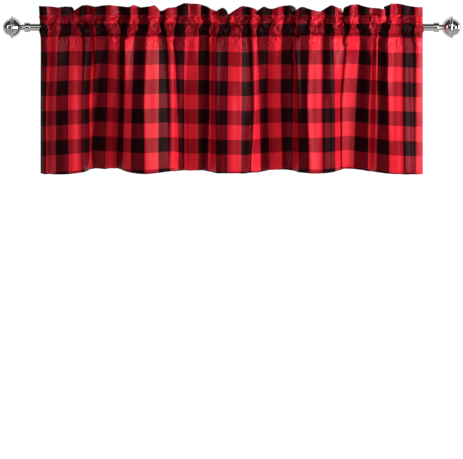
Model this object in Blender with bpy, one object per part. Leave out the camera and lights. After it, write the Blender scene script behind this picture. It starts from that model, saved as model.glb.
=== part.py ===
"""Window valance gathered on a curtain rod: the cloth, the rod, its two end caps and its two finials.

Metres, +Z up, X along the rod. The rod's axis runs through the origin and the front is -Y.
"""

import math

import bpy
import numpy as np

MM = 0.001

# The cloth laid flat. One check is one woven square; the two side columns are part checks.
CHECK = 38.1 * MM
SIDE_CHECK = 0.55
HEADER_LENGTH = 32.0 * MM
POCKET_LENGTH = 76.0 * MM
SKIRT_LENGTH = 353.0 * MM
SHEET = 1.4 * MM
HEADER_SHEET = 2.4 * MM

# The cloth as it hangs.
GATHERED_WIDTH = 983.0 * MM
HEADER_SEAM_HEIGHT = 31.0 * MM
MOST_TURN = math.radians(80)
TIGHT_PULL = 0.45
MOST_GATHER = 62.0 * MM
BEND_EASE = 0.1

# The rod and what closes its ends.
ROD_RADIUS = 9.5 * MM
ROD_HALF_LENGTH = 528.0 * MM
ROD_GAP = 1.2 * MM
FIT_GAP = 0.3 * MM
ROUND_STEPS = 40

# The eight check columns of each fold, left to right: a rise towards the viewer, the crest, a fall and
# the valley. The last fold ends at the cloth's right edge.
FOLD_COLUMNS = ("rise_1", "rise_2", "rise_3", "crest", "fall_1", "fall_2", "fall_3", "valley")

# How far each column is turned from facing the viewer below the rod, in degrees.
SKIRT_TURN = (
    (47, 47, 36, -14, -62, -66, -30, 33),
    (71, 60, 28, -13, -38, -65, -57, 10),
    (38, 66, 36, -16, -34, -72, -50, 24),
    (38, 68, 48, -2, -30, -65, -86, -20),
    (29, 53, 42, 12, -32, -20),
)

# The column, counted from 0, that is tucked in behind its neighbour: it goes back and comes forward
# again, so the cloth is as deep after it as before.
TUCKED_COLUMN = 30

# How wide each column is drawn in at the header, in mm across the rod.
HEADER_WIDTH = (
    (18, 34, 28, 19, 19, 22, 27, 34),
    (30, 19, 28, 23, 19, 30, 28, 33),
    (24, 26, 28, 28, 23, 24, 31, 31),
    (28, 14, 28, 35, 26, 26, 16, 16),
    (31, 33, 21, 28, 35, 20),
)

# One gather a row, left to right: where its crest and the dip after it are, in mm from the left edge,
# and how upright the header stands at each, as a share of its length.
GATHERS = (
    ("crest_at", "crest_stand", "dip_at", "dip_stand"),
    (13, 0.70, 28, 0.70),
    (49, 0.73, 80, 0.36),
    (105, 0.74, 124, 0.77),
    (142, 0.78, 160, 0.75),
    (180, 0.75, 203, 0.71),
    (229, 0.80, 257, 0.67),
    (280, 0.79, 309, 0.42),
    (332, 0.62, 350, 0.66),
    (371, 0.86, 386, 0.95),
    (402, 0.98, 420, 0.84),
    (433, 0.66, 448, 0.46),
    (463, 0.65, 481, 0.16),
    (515, 0.79, 535, 0.60),
    (546, 0.54, 559, 0.41),
    (574, 0.68, 589, 0.60),
    (613, 0.78, 623, 0.84),
    (636, 0.84, 656, 0.51),
    (672, 0.75, 685, 0.63),
    (700, 0.52, 721, 0.33),
    (749, 0.85, 780, 0.29),
    (801, 0.82, 819, 0.74),
    (837, 0.67, 855, 0.62),
    (873, 0.60, 885, 0.72),
    (903, 0.90, 919, 0.90),
    (937, 0.84, 952, 0.80),
    (968, 0.74, 983, 0.70),
)

# How much higher the header's edge stands than its gathers put it, and how much lower the hem hangs than
# its folds put it: (distance from the left edge, by how much), in mm.
HEADER_EDGE = (
    (3, 0.0), (44, 1.0), (72, 7.0), (85, -2.0), (108, 1.5), (216, -1.5), (237, 2.5), (255, -2.5),
    (291, 4.0), (306, -3.5), (327, 0.5), (347, -2.5), (368, 3.5), (448, -3.0), (466, 3.0),
    (484, -5.5), (517, 2.5), (543, 1.0), (559, -3.0), (571, 0.0), (592, -3.5), (641, 2.0),
    (662, -3.5), (672, 1.0), (718, -2.5), (749, 1.5), (770, 1.0), (780, -2.0), (790, 5.5),
    (813, 0.5), (878, -2.5), (901, 1.0), (978, -0.5),
)
HEM_DROP = (
    (3, 0.0), (36, -2.5), (75, 0.0), (124, -6.0), (167, 3.5), (211, -2.5), (247, 3.0), (304, 1.5),
    (335, -3.5), (371, 4.0), (448, 1.0), (479, 2.5), (543, 1.0), (574, 7.5), (613, 1.5),
    (656, -1.5), (713, 3.5), (757, -3.5), (782, -4.5), (831, -4.5), (916, 2.5), (978, -0.5),
)

# The levels down the cloth to its lower seam: flat mm from the top edge, height of the level in mm
# (None above the header seam, where it follows the gathers), how far the two layers of the pocket are
# spread (1 clears the rod), share of the gathers, and share of the skirt's column widths.
POCKET_LEVELS = (
    ("flat", "height", "spread", "gather", "skirt_share"),
    (0, None, 0.0, 1.25, 0.0),
    (16, None, 0.0, 0.95, 0.0),
    (32, 31.0, 0.0, 0.75, 0.0),
    (50, 21.5, 0.34, 0.75, 0.0),
    (68, 11.5, 0.76, 0.75, 0.1),
    (82, 1.0, 1.0, 0.75, 0.3),
    (94, -9.5, 1.0, 0.75, 0.55),
    (108, -22.5, 0.0, 0.85, 0.8),
)
HEADER_SEAM_ROW = 2
POCKET_SEAM_ROW = 7

# The levels below the lower seam, in flat mm from the top edge. The last is the hem.
SKIRT_LEVELS = (120, 140, 166, 200, 242, 290, 342, 400, 461)

# The folds deepen down the skirt at this rate, and the side edges sag by this much at the hem.
FOLD_GROWTH = 2.2
LEFT_SAG = 8.0 * MM
RIGHT_SAG = 3.0 * MM
LEFT_FLARE = 5.0 * MM
SAG_REACH = 110.0 * MM


def clear_scene():
    for item in list(bpy.data.objects):
        bpy.data.objects.remove(item, do_unlink=True)


def make_material(name, colour, metallic, roughness):
    material = bpy.data.materials.new(name)
    material.use_nodes = True
    shader = material.node_tree.nodes["Principled BSDF"]
    shader.inputs["Base Color"].default_value = (*colour, 1.0)
    shader.inputs["Metallic"].default_value = metallic
    shader.inputs["Roughness"].default_value = roughness
    return material


def add_object(name, points, faces, material):
    mesh = bpy.data.meshes.new(name)
    mesh.from_pydata([tuple(point) for point in points], [], faces)
    mesh.update()
    mesh.materials.append(material)
    mesh.shade_smooth()
    part = bpy.data.objects.new(name, mesh)
    bpy.context.scene.collection.objects.link(part)
    return part


def smooth_through(knots, values, at):
    """A curve through the knots that never overshoots them (monotone cubic)."""
    step = np.diff(knots)
    slope = np.diff(values) / step
    tangent = np.zeros(len(knots))
    tangent[0], tangent[-1] = slope[0], slope[-1]
    for k in range(1, len(knots) - 1):
        if slope[k - 1] * slope[k] > 0:
            before = 2 * step[k] + step[k - 1]
            after = step[k] + 2 * step[k - 1]
            tangent[k] = (before + after) / (before / slope[k - 1] + after / slope[k])
    cell = np.clip(np.searchsorted(knots, at, side="right") - 1, 0, len(step) - 1)
    t = (at - knots[cell]) / step[cell]
    start, end = values[cell], values[cell + 1]
    lead = step[cell] * tangent[cell]
    tail = step[cell] * tangent[cell + 1]
    return (
        (2 * t**3 - 3 * t**2 + 1) * start
        + (t**3 - 2 * t**2 + t) * lead
        + (3 * t**2 - 2 * t**3) * end
        + (t**3 - t**2) * tail
    )


def column_sizes():
    """Flat width of every check column, left to right."""
    count = sum(len(fold) for fold in SKIRT_TURN)
    flat = np.full(count, CHECK)
    flat[[0, -1]] *= SIDE_CHECK
    return flat


def running_total(sizes):
    return np.concatenate([[0.0], np.cumsum(sizes)])


def column_maps():
    """Flat position, header position, skirt position and fold depth at every column boundary."""
    flat = column_sizes()
    turn = np.radians(np.concatenate([np.array(fold, float) for fold in SKIRT_TURN]))
    turn = np.clip(turn, -MOST_TURN, MOST_TURN)
    header = np.concatenate([np.array(fold, float) for fold in HEADER_WIDTH]) * MM
    skirt = flat * np.cos(turn)
    header *= GATHERED_WIDTH / header.sum()
    skirt *= GATHERED_WIDTH / skirt.sum()
    deeper = -0.9 * flat * np.sin(turn)
    deeper[TUCKED_COLUMN] = 0.0
    return running_total(flat), running_total(header), running_total(skirt), running_total(deeper)


def gather_stations(flat_edges, header_edges):
    """Flat positions to cut the cloth at: each gather's crest, dip and flanks, with more on wide ones.

    It returns them with the gather's wave there, 1 at a crest and -1 at a dip, the header's stand, and
    the flat length of the gather.
    """
    turns = []
    stands = []
    for crest_at, crest_stand, dip_at, dip_stand in GATHERS[1:]:
        turns += [crest_at * MM, dip_at * MM]
        stands += [crest_stand, dip_stand]
    turns = np.interp(np.array([0.0] + turns), header_edges, flat_edges)
    turns[-1] = flat_edges[-1]
    stands = np.array([0.72] + stands)
    stations = [turns[0]]
    for start, end in zip(turns, turns[1:]):
        cuts = 2 if end - start < 34 * MM else 3
        stations += [start + (end - start) * (k + 1) / cuts for k in range(cuts)]
    stations = np.array(stations)
    half_turns = np.interp(stations, turns, np.arange(len(turns)))
    wave = -np.cos(math.pi * half_turns)
    near = np.clip(half_turns.astype(int), 0, len(turns) - 2)
    length = np.minimum(2 * np.diff(turns)[near], MOST_GATHER)
    length = np.convolve(np.pad(length, 2, mode="edge"), np.ones(5) / 5, mode="valid")
    stand = smooth_through(turns, stands, stations)
    return stations, wave, stand, length


def sheet_normals(sheet):
    """Unit normals of a grid of points, towards the viewer, lengthened where the sheet bends sharply."""
    across = np.gradient(sheet, axis=1)
    down = np.gradient(sheet, axis=0)
    normal = np.cross(down, across)
    normal /= np.linalg.norm(normal, axis=2, keepdims=True)
    edge = np.diff(sheet, axis=1)
    edge /= np.linalg.norm(edge, axis=2, keepdims=True)
    bend = np.clip((edge[:, 1:] * edge[:, :-1]).sum(axis=2), -0.2, 1.0)
    miter = np.ones(sheet.shape[:2])
    miter[:, 1:-1] = np.minimum(1.25, 1 / np.sqrt((1 + bend) / 2))
    return normal * miter[:, :, None]


def soften(sheet):
    """Eases the sharpest bends along the width, leaving the side edges where they are."""
    eased = sheet.copy()
    eased[:, 1:-1] += BEND_EASE * (sheet[:, :-2] - 2 * sheet[:, 1:-1] + sheet[:, 2:])
    return eased


def cloth_sheets():
    """Centre sheets of the cloth as grids of points: the front, down its full length, and the back of
    the rod pocket.
    """
    flat_edges, header_edges, skirt_edges, depth_edges = column_maps()
    stations, wave, stand, length = gather_stations(flat_edges, header_edges)
    header_x = smooth_through(flat_edges, header_edges, stations)
    skirt_x = smooth_through(flat_edges, skirt_edges, stations)
    fold_depth = smooth_through(flat_edges, depth_edges, stations)
    fold_depth = fold_depth - (fold_depth.max() + fold_depth.min()) / 2
    header_pull = np.gradient(header_x, stations)
    skirt_pull = np.gradient(skirt_x, stations)
    fold_turn = np.gradient(fold_depth, stations)
    left_edge = np.exp(-((stations / SAG_REACH) ** 2))
    right_edge = np.exp(-(((stations - stations[-1]) / SAG_REACH) ** 2))
    edge_rise = np.interp(header_x / MM, *zip(*HEADER_EDGE)) * MM
    hem_drop = np.interp(skirt_x / MM, *zip(*HEM_DROP)) * MM

    def level(skirt_share, drape, gather):
        """Positions across and in depth at one level, and the gathers' own depth there."""
        x = header_x + (skirt_x - header_x) * skirt_share - GATHERED_WIDTH / 2
        pull = header_pull + (skirt_pull - header_pull) * skirt_share
        straight = np.sqrt(np.clip(1 - (drape * fold_turn) ** 2, 0.04, 1.0))
        slack = np.sqrt(np.clip(1 - (pull / straight) ** 2, 0.0, 0.92))
        ripple = gather * slack * length / 4 * np.minimum(1.0, pull / TIGHT_PULL)
        return x, drape * fold_depth, ripple

    front = []
    back = []
    names = POCKET_LEVELS[0]
    for row in POCKET_LEVELS[1:]:
        value = dict(zip(names, row))
        x, y, ripple = level(value["skirt_share"], 0.04 * value["skirt_share"], value["gather"])
        spread = value["spread"] * (ROD_RADIUS + ROD_GAP + SHEET / 2 + ripple)
        if value["height"] is None:
            share = 1 - value["flat"] * MM / HEADER_LENGTH
            z = HEADER_SEAM_HEIGHT + share * (stand * HEADER_LENGTH + edge_rise)
        else:
            z = np.full(len(stations), value["height"] * MM)
        front.append(np.stack([x, y - ripple * wave - spread, z], axis=1))
        back.append(np.stack([x, y - ripple * wave + spread, z], axis=1))
    seam_flat = HEADER_LENGTH + POCKET_LENGTH
    flat_above = seam_flat
    for flat in SKIRT_LEVELS:
        share = (flat * MM - seam_flat) / SKIRT_LENGTH
        drape = 0.04 + 0.96 * (1 - math.exp(-FOLD_GROWTH * share)) / (1 - math.exp(-FOLD_GROWTH))
        x, y, ripple = level(min(1.0, 0.8 + 6 * share), drape, 0.85)
        y = y - ripple * wave
        above = front[-1]
        run = flat * MM - flat_above
        swing = np.hypot(y - above[:, 1], x - above[:, 0])
        drop = np.sqrt(np.maximum(run**2 - swing**2, (0.8 * run) ** 2))
        front.append(np.stack([x, y, above[:, 2] - drop], axis=1))
        flat_above = flat * MM
    front = np.array(front)
    below = np.clip((HEADER_SEAM_HEIGHT - front[:, :, 2]) / 0.4, 0.0, 1.0)
    front[:, :, 2] -= below * (LEFT_SAG * left_edge + RIGHT_SAG * right_edge)
    front[:, :, 2] -= below**1.5 * hem_drop
    back = np.array(back)
    for sheet in (front, back):
        upper = np.clip((sheet[:, :, 2] + 40 * MM) / (95 * MM), 0.0, 1.0)
        sheet[:, :, 0] -= LEFT_FLARE * upper * np.exp(-stations / (40 * MM))
    return soften(front), soften(back)


def build_cloth(material):
    """One closed sheet with the rod's tunnel through it, between the header seam and the lower seam."""
    front, back = cloth_sheets()
    rows, columns = front.shape[:2]
    half = np.full(rows, SHEET / 2)
    half[: HEADER_SEAM_ROW + 1] = HEADER_SHEET / 2
    half[POCKET_SEAM_ROW] = HEADER_SHEET / 2
    front_out = sheet_normals(front) * half[:, None, None]
    outer_front = front + front_out
    outer_back = front - front_out
    pocket = slice(HEADER_SEAM_ROW, POCKET_SEAM_ROW + 1)
    back_out = sheet_normals(back[pocket]) * half[pocket][:, None, None]
    outer_back[pocket] = back[pocket] - back_out
    inner_front = front[pocket] - front_out[pocket]
    inner_back = back[pocket] + back_out
    apex = front[HEADER_SEAM_ROW] - [0, 0, 2.2 * MM]
    nadir = front[POCKET_SEAM_ROW] + [0, 0, 2.2 * MM]
    inner_front[0] = inner_back[0] = apex
    inner_front[-1] = inner_back[-1] = nadir

    points = []

    def store(grid):
        first = len(points)
        points.extend(grid.reshape(-1, 3))
        return np.arange(first, len(points)).reshape(grid.shape[:2])

    of = store(outer_front)
    ob = store(outer_back)
    inf = store(inner_front)
    inb = store(inner_back[1:-1])
    inb = np.concatenate([inf[:1], inb, inf[-1:]])

    faces = []

    def quad(a, b, c, d):
        faces.append((int(a), int(b), int(c), int(d)))

    for i in range(columns - 1):
        j = i + 1
        quad(of[0, i], of[0, j], ob[0, j], ob[0, i])
        quad(of[-1, j], of[-1, i], ob[-1, i], ob[-1, j])
        for r in range(rows - 1):
            quad(of[r, i], of[r + 1, i], of[r + 1, j], of[r, j])
            quad(ob[r, j], ob[r + 1, j], ob[r + 1, i], ob[r, i])
        for r in range(len(inf) - 1):
            quad(inf[r, j], inf[r + 1, j], inf[r + 1, i], inf[r, i])
            quad(inb[r, i], inb[r + 1, i], inb[r + 1, j], inb[r, j])

    for i, turned in ((0, False), (columns - 1, True)):
        cap = []
        for r in range(rows - 1):
            if HEADER_SEAM_ROW <= r < POCKET_SEAM_ROW:
                k = r - HEADER_SEAM_ROW
                cap.append((of[r, i], inf[k, i], inf[k + 1, i], of[r + 1, i]))
                cap.append((inb[k, i], ob[r, i], ob[r + 1, i], inb[k + 1, i]))
            else:
                cap.append((of[r, i], ob[r, i], ob[r + 1, i], of[r + 1, i]))
        top, bottom = HEADER_SEAM_ROW, POCKET_SEAM_ROW
        cap.append((of[top, i], ob[top, i], inf[0, i]))
        cap.append((inf[-1, i], ob[bottom, i], of[bottom, i]))
        for face in cap:
            ids = [int(k) for k in face]
            faces.append(tuple(reversed(ids)) if turned else tuple(ids))
    return add_object("valance_cloth", points, faces, material)


def turn_profile(name, profile, side, material):
    """A solid of revolution about X. The profile runs (x, radius) from the middle outwards, starting and
    ending on the axis; side is 1 for the right-hand piece and -1 for the left.
    """
    points = []
    rings = []
    for x, radius in profile:
        if radius == 0:
            rings.append([len(points)])
            points.append((side * x * MM, 0.0, 0.0))
            continue
        ring = []
        for k in range(ROUND_STEPS):
            angle = 2 * math.pi * k / ROUND_STEPS
            ring.append(len(points))
            points.append((side * x * MM, radius * MM * math.cos(angle), radius * MM * math.sin(angle)))
        rings.append(ring)
    faces = []
    for inner, outer in zip(rings, rings[1:]):
        for k in range(ROUND_STEPS):
            n = (k + 1) % ROUND_STEPS
            if len(inner) == 1:
                face = (inner[0], outer[n], outer[k])
            elif len(outer) == 1:
                face = (inner[k], inner[n], outer[0])
            else:
                face = (inner[k], inner[n], outer[n], outer[k])
            faces.append(face if side > 0 else tuple(reversed(face)))
    part = add_object(name, points, faces, material)
    part.data.set_sharp_from_angle(angle=math.radians(35))
    return part


def arc(centre_x, centre_r, radius, start_deg, end_deg, steps):
    """Points along a circle in the (x, radius) plane."""
    angles = np.radians(np.linspace(start_deg, end_deg, steps + 1))
    return [(centre_x + radius * math.cos(a), centre_r + radius * math.sin(a)) for a in angles]


def rod_profile():
    half = ROD_HALF_LENGTH / MM
    radius = ROD_RADIUS / MM
    chamfer = 0.4
    return [
        (-half, 0),
        (-half, radius - chamfer),
        (-half + chamfer, radius),
        (half - chamfer, radius),
        (half, radius - chamfer),
        (half, 0),
    ]


def cap_profile():
    """A sleeve over the rod's end, with a small hole for the finial's spigot."""
    rod = (ROD_RADIUS + FIT_GAP) / MM
    floor = ROD_HALF_LENGTH / MM + FIT_GAP / MM
    return [
        (floor, 0),
        (floor, rod),
        (519.5, rod),
        (519.5, 11.4),
        (520.4, 12.3),
        (526.0, 12.6),
        (532.6, 12.3),
        (534.0, 10.9),
        (534.0, 4.3),
        (530.6, 4.3),
        (530.6, 0),
    ]


def finial_profile():
    """A neck with a collar and a bead, a bell-shaped back, a rim and a domed end."""
    neck = [(531.0, 0), (531.0, 4.0), (534.3, 4.0), (534.3, 7.2), (535.4, 7.6), (536.3, 6.6)]
    bead = arc(538.8, 5.9, 1.9, 160, 20, 4)
    bell = [(541.4, 6.6), (542.4, 7.4), (543.2, 9.2), (544.4, 11.6), (546.6, 14.8), (549.2, 17.8)]
    bell += [(552.4, 20.4), (556.4, 22.8), (560.4, 25.0)]
    rim = [(563.2, 27.4), (565.6, 28.6), (567.8, 28.0), (569.6, 25.6), (570.4, 22.6)]
    dome = [(567.6 + 21.4 * math.sin(a), 21.6 * math.cos(a)) for a in np.radians([12, 28, 44, 60, 76])]
    return neck + bead + bell + rim + dome + [(589.0, 0)]


def main():
    clear_scene()
    build_cloth(make_material("valance_cloth_fabric", (0.55, 0.02, 0.05), 0.0, 0.55))
    turn_profile("rod_tube", rod_profile(), 1, make_material("rod_chrome", (0.72, 0.72, 0.72), 1.0, 0.12))
    for side, sign in (("left", -1), ("right", 1)):
        cap_chrome = make_material(f"end_cap_{side}_chrome", (0.7, 0.7, 0.7), 1.0, 0.14)
        turn_profile(f"end_cap_{side}", cap_profile(), sign, cap_chrome)
        finial_chrome = make_material(f"finial_{side}_chrome", (0.74, 0.74, 0.75), 1.0, 0.1)
        turn_profile(f"finial_{side}", finial_profile(), sign, finial_chrome)


main()
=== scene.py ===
"""Looks for the gathered window valance on its curtain rod."""

import math

import bpy
import numpy as np
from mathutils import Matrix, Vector


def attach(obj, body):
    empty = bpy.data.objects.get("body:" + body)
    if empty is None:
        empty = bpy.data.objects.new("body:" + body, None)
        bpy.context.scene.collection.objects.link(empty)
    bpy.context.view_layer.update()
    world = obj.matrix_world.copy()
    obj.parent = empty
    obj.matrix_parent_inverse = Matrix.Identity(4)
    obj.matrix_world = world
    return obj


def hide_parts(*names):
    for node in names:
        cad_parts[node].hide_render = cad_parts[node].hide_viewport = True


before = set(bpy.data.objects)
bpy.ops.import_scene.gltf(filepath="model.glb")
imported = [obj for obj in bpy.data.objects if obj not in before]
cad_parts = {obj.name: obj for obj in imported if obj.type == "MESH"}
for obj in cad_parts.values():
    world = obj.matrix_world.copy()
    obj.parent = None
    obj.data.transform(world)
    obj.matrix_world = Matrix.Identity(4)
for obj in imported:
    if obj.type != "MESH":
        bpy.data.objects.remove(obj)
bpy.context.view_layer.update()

# ------------------------------------------------------------------------------------------------
# Studio: a pale floor that sweeps up into a backdrop, soft lamps at the right, the front and behind
# the right end, a weak fill at the left, and a camera square on to the rod and a little above it.
# The sweep glows with painted light, brightest on the backdrop, with painted shade on the floor in
# front and towards the sides.
# ------------------------------------------------------------------------------------------------
MM = 0.001
IMAGE_SIZE = (463, 459)
MM_PER_PIXEL = 2.574
ROD_PIXEL = (231.75, 27.3)
CAMERA_ELEVATION = math.radians(7.5)
CAMERA_DISTANCE = 4.0
LAMP_AIM = (0, 0, -0.15)
FLOOR_LEVEL = -1.6
FLOOR_FRONT = -8.0
FLOOR_BACK = 2.0
SWEEP_HALF_WIDTH = 6.0
SWEEP_RADIUS = 1.2
SWEEP_STEPS = 8
BACKDROP_TOP = 6.0
# How brightly the sweep glows: painted shade on the floor, painted light on the backdrop, painted
# shade towards the sides.
FLOOR_PAINTED_SHADE_GLOW = 0.46
BACKDROP_PAINTED_LIGHT_GLOW = 1.02
SIDE_PAINTED_SHADE_GLOW = 0.75

camera_data = bpy.data.cameras.new("studio_camera")
camera_data.type = "ORTHO"
camera_data.ortho_scale = IMAGE_SIZE[0] * MM_PER_PIXEL * MM
camera = bpy.data.objects.new("studio_camera", camera_data)
bpy.context.scene.collection.objects.link(camera)
look = Vector((0, math.cos(CAMERA_ELEVATION), -math.sin(CAMERA_ELEVATION)))
upward = Vector((0, math.sin(CAMERA_ELEVATION), math.cos(CAMERA_ELEVATION)))
right_of_rod = (IMAGE_SIZE[0] / 2 - ROD_PIXEL[0]) * MM_PER_PIXEL * MM
below_rod = (IMAGE_SIZE[1] / 2 - ROD_PIXEL[1]) * MM_PER_PIXEL * MM
aim = Vector((right_of_rod, 0, 0)) - upward * below_rod
camera.location = aim - look * CAMERA_DISTANCE
camera.rotation_euler = look.to_track_quat("-Z", "Y").to_euler()
bpy.context.scene.camera = camera
bpy.context.scene.view_settings.view_transform = "Standard"


def area_lamp(name, location, size, watts, colour=(1, 1, 1)):
    """A soft rectangular lamp that points at the valance."""
    lamp = bpy.data.lights.new(name, "AREA")
    lamp.shape = "RECTANGLE"
    lamp.size, lamp.size_y = size
    lamp.energy = watts
    lamp.color = colour
    holder = bpy.data.objects.new(name, lamp)
    bpy.context.scene.collection.objects.link(holder)
    holder.location = location
    towards = Vector(LAMP_AIM) - Vector(location)
    holder.rotation_euler = towards.to_track_quat("-Z", "Y").to_euler()


area_lamp("key_lamp", (2.42, -1.40, 0.09), (0.3, 0.7), 72, (1.0, 0.985, 0.97))
area_lamp("side_lamp", (2.69, 0.72, 0.09), (0.5, 0.8), 66)
area_lamp("front_lamp", (1.18, -2.53, 0.09), (0.5, 0.8), 30)
area_lamp("fill_lamp", (-2.42, -1.40, 0.45), (0.6, 1.4), 5)


def remapped(source, limits, interpolation="LINEAR"):
    """Brings a socket's value from the first two limits to the last two."""
    node = source.id_data.nodes.new("ShaderNodeMapRange")
    node.interpolation_type = interpolation
    for label, value in zip(("From Min", "From Max", "To Min", "To Max"), limits):
        node.inputs[label].default_value = value
    source.id_data.links.new(source, node.inputs["Value"])
    return node.outputs[0]


# The room is pale below and dark above, with one bright panel high in front of the valance.
world = bpy.data.worlds.new("studio_world")
bpy.context.scene.world = world
world.use_nodes = True
sky = world.node_tree.nodes
sky_links = world.node_tree.links
around = sky.new("ShaderNodeTexCoord")
split = sky.new("ShaderNodeSeparateXYZ")
sky_links.new(around.outputs["Generated"], split.inputs[0])
height = remapped(split.outputs["Z"], (-1.0, 1.0, 0.0, 1.0))
in_front = remapped(split.outputs["Y"], (-0.55, -0.72, 0.0, 1.0))
room_ramp = sky.new("ShaderNodeValToRGB")
panel_ramp = sky.new("ShaderNodeValToRGB")
for ramp, stops in (
    (room_ramp, ((0.0, 0.5), (0.40, 0.5), (0.44, 0.05), (0.94, 0.05), (1.0, 0.05))),
    (panel_ramp, ((0.0, 0.0), (0.67, 0.0), (0.70, 1.1), (0.80, 1.1), (0.83, 0.0))),
):
    sky_links.new(height, ramp.inputs["Fac"])
    while len(ramp.color_ramp.elements) < len(stops):
        ramp.color_ramp.elements.new(0.5)
    for stop, (position, grey) in zip(ramp.color_ramp.elements, stops):
        stop.position = position
        stop.color = (grey, grey, grey, 1)
panel = sky.new("ShaderNodeMix")
panel.data_type = "RGBA"
panel.blend_type = "ADD"
sky_links.new(in_front, panel.inputs["Factor"])
sky_links.new(room_ramp.outputs["Color"], panel.inputs["A"])
sky_links.new(panel_ramp.outputs["Color"], panel.inputs["B"])
sky_links.new(panel.outputs["Result"], sky["Background"].inputs["Color"])
sky["Background"].inputs["Strength"].default_value = 1.0

sweep_points = []
for side in (-SWEEP_HALF_WIDTH, SWEEP_HALF_WIDTH):
    sweep_points += [(side, FLOOR_FRONT, FLOOR_LEVEL), (side, FLOOR_BACK, FLOOR_LEVEL)]
    for step in range(1, SWEEP_STEPS + 1):
        bend = math.radians(90 * step / SWEEP_STEPS)
        back = FLOOR_BACK + SWEEP_RADIUS * math.sin(bend)
        up = FLOOR_LEVEL + SWEEP_RADIUS * (1 - math.cos(bend))
        sweep_points.append((side, back, up))
    sweep_points.append((side, FLOOR_BACK + SWEEP_RADIUS, BACKDROP_TOP))
row_length = len(sweep_points) // 2
sweep_faces = [(k, k + row_length, k + row_length + 1, k + 1) for k in range(row_length - 1)]
sweep_mesh = bpy.data.meshes.new("studio_sweep")
sweep_mesh.from_pydata(sweep_points, [], sweep_faces)
sweep_mesh.shade_smooth()
sweep = bpy.data.objects.new("studio_sweep", sweep_mesh)
bpy.context.scene.collection.objects.link(sweep)
paper = bpy.data.materials.new("studio_paper")
paper.use_nodes = True
paper_nodes, paper_links = paper.node_tree.nodes, paper.node_tree.links
paper_shader = paper_nodes["Principled BSDF"]
paper_shader.inputs["Base Color"].default_value = (0.05, 0.05, 0.05, 1)
paper_shader.inputs["Roughness"].default_value = 0.9
paper_shader.inputs["Specular IOR Level"].default_value = 0.0
paper_place = paper_nodes.new("ShaderNodeTexCoord")
paper_split = paper_nodes.new("ShaderNodeSeparateXYZ")
paper_links.new(paper_place.outputs["Object"], paper_split.inputs[0])
off_middle = paper_nodes.new("ShaderNodeMath")
off_middle.operation = "ABSOLUTE"
paper_links.new(paper_split.outputs["X"], off_middle.inputs[0])
# The sweep's glow is painted light: dim on the floor in front as painted shade, bright on the
# backdrop, and dimmer towards the sides as painted shade.
glow_limits = (0.2, 2.4, FLOOR_PAINTED_SHADE_GLOW, BACKDROP_PAINTED_LIGHT_GLOW)
painted_sweep_light = remapped(paper_split.outputs["Y"], glow_limits, "SMOOTHSTEP")
painted_side_shade = remapped(off_middle.outputs[0], (0.9, 1.8, 1.0, SIDE_PAINTED_SHADE_GLOW), "SMOOTHSTEP")
lit = paper_nodes.new("ShaderNodeMath")
lit.operation = "MULTIPLY"
paper_links.new(painted_sweep_light, lit.inputs[0])
paper_links.new(painted_side_shade, lit.inputs[1])
paper_links.new(lit.outputs[0], paper_shader.inputs["Emission Strength"])
paper_shader.inputs["Emission Color"].default_value = (1, 1, 1, 1)
sweep_mesh.materials.append(paper)

# ------------------------------------------------------------------------------------------------
# Valance cloth: one length of yarn-dyed woven polyester, 56 in by 18 in once hemmed, with a header
# ruffle above the rod pocket. The pocket is two layers sewn along two lines, and the whole width
# is pushed together on the rod, so that it gathers there and falls in wide folds below.
# ------------------------------------------------------------------------------------------------
CHECK = 38.1 * MM
SIDE_CHECK = 0.55
HEADER_LENGTH = 32.0 * MM
POCKET_LENGTH = 76.0 * MM
SKIRT_LENGTH = 353.0 * MM
SIDE_HEM = 14.0 * MM
HEM_DEPTH = 32.0 * MM
HEM_FADE = 0.8 * MM
SHEET = 1.2 * MM
HEADER_SHEET = 2.2 * MM
HEM_SHEET = 2.0 * MM
SEAM_INSET = 2.0 * MM

# How the cloth sits on the rod, folds and hangs.
GATHERED_WIDTH = 983.0 * MM
HEADER_SEAM_HEIGHT = 31.0 * MM
ROD_RADIUS = 9.5 * MM
ROD_GAP = 1.2 * MM
MOST_TURN = math.radians(80)
FOLD_DEPTH = 0.9
FOLD_GROWTH = 2.2
LEAST_DRAPE = 0.04
LEAST_DROP = 0.8
TIGHT_PULL = 0.45
MOST_GATHER = 62.0 * MM
SKIRT_GATHER = 0.85
LEAST_STRAIGHT = 0.04
MOST_SLACK = 0.92
LEFT_SAG = 8.0 * MM
RIGHT_SAG = 3.0 * MM
SAG_REACH = 110.0 * MM
LEFT_FLARE = 5.0 * MM
FLARE_BOTTOM = -40 * MM
FLARE_HEIGHT = 95 * MM
FLARE_REACH = 40 * MM
HANG_HEIGHT = 0.4
HEM_CURL = 10.0 * MM
HEM_CURL_DEPTH = 4.0 * MM
WALL_SIDE_DEPTH = 42.0 * MM
WALL_PRESS = 15.0 * MM

# The grid of the sheet: the step across it, and the rows in each stretch from the top down.
COLUMN_STEP = 2.8 * MM
HEADER_STEPS = 8
POCKET_STEPS = 22
SKIRT_STEPS = 37
CURL_STEPS = 5
SMOOTH_REACH = 6

# Levels on the flat cloth, in mm from its top edge: the lower seam, then where the column widths
# under the seam, half way down and at the hem are reached.
LOWER_SEAM_LEVEL = 108
UPPER_LEVEL = 128
UPPER_RATE = 6
MIDDLE_LEVEL = 280
HEM_LEVEL = 430

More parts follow.
